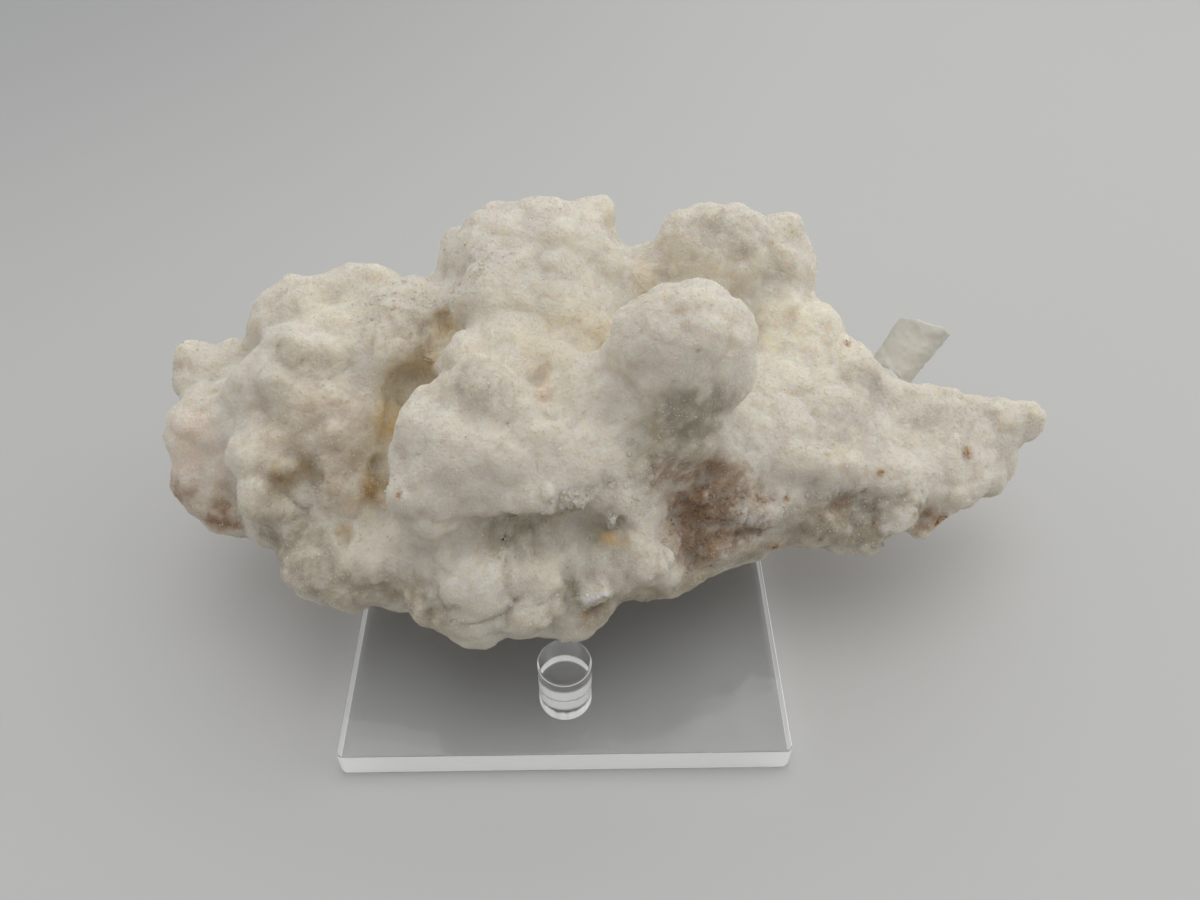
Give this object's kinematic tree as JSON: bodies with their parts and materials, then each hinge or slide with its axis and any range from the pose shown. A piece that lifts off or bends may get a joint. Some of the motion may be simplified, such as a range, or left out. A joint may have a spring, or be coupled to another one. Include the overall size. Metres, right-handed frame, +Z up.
{
  "type": "mineral specimen on a stand",
  "caption": "Lumpy white mineral cluster with rounded lobes and a pale prism at one end, resting on a clear stand of a square plate and round pegs.",
  "frame": {"origin": "centre of the stand's underside, on the surface that it rests on", "axes": "+X along the specimen towards its tapering arm, +Y to the back, -Y towards the viewer of the picture, +Z up"},
  "size_m": [0.1707, 0.0963, 0.0727],
  "materials": {
    "white_mineral": "granular, slightly translucent",
    "pale_prism": "cloudy, translucent",
    "clear_acrylic": "clear, polished"
  },
  "bodies": {
    "root": {"thenardite_cluster": "white_mineral", "prism_crystal": "pale_prism", "base_plate": "clear_acrylic", "front_peg": "clear_acrylic", "rear_left_peg": "clear_acrylic", "rear_right_peg": "clear_acrylic"}
  },
  "joints": []
}
